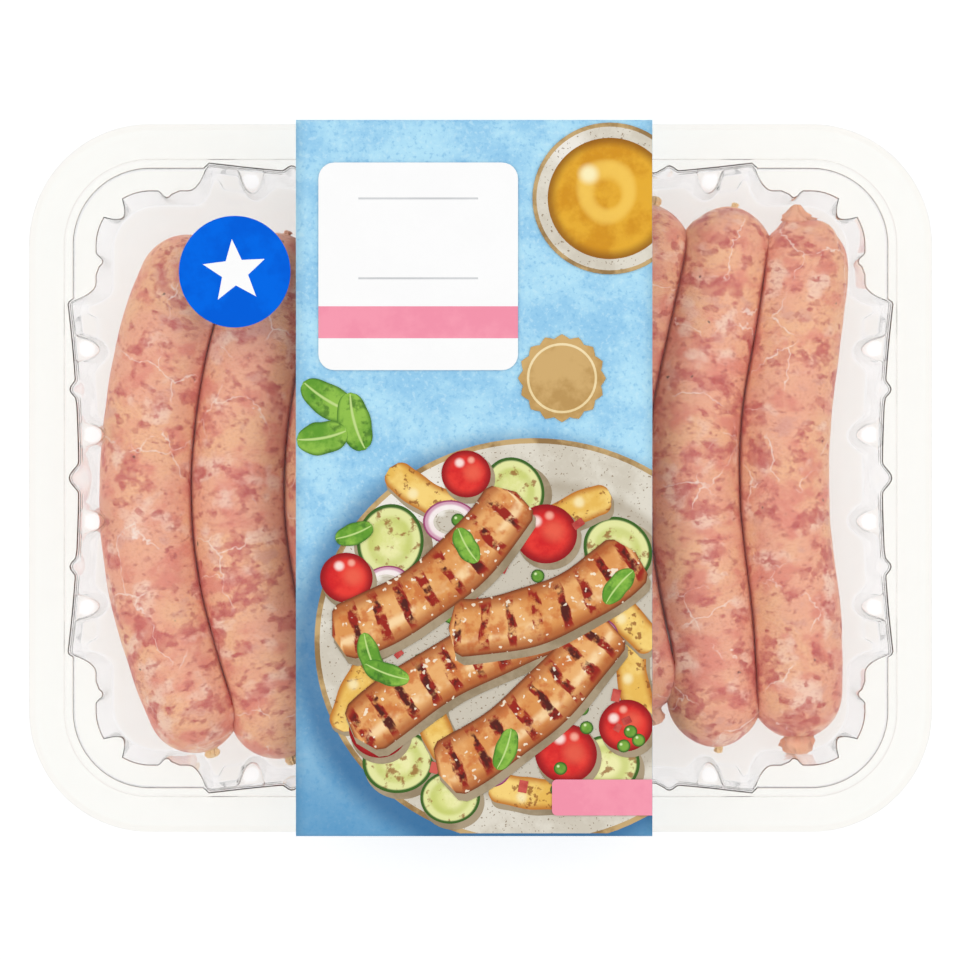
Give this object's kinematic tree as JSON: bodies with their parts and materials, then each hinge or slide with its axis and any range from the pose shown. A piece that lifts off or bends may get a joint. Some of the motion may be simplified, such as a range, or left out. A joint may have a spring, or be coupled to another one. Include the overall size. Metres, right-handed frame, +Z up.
{
  "type": "pack of pork sausages",
  "caption": "Clear formed food tray of fresh pork sausages, closed by a sealed film and held in a printed card sleeve, with a round label.",
  "frame": {"origin": "centre of the pack's footprint, on the surface it stands on", "axes": "+X along the tray's long side, +Y along the sausages towards the edge nearest the round label, +Z up through the film"},
  "size_m": [0.227, 0.1796, 0.0359],
  "materials": {
    "clear_tray": "clear formed plastic sheet, glossy",
    "clear_film": "thin clear film, heat sealed to the tray's flange",
    "printed_card": "white board printed in light blue with a satin varnish",
    "paper_label": "round self-adhesive label, plain blue",
    "sausage_meat": "raw pink pork with pale fat, in thin natural casing, lightly moist"
  },
  "bodies": {
    "root": {"tray": "clear_tray", "film": "clear_film", "sleeve": "printed_card", "sticker": "paper_label", "sausage_1": "sausage_meat", "sausage_2": "sausage_meat", "sausage_3": "sausage_meat", "sausage_4": "sausage_meat", "sausage_5": "sausage_meat", "sausage_6": "sausage_meat"}
  },
  "joints": []
}
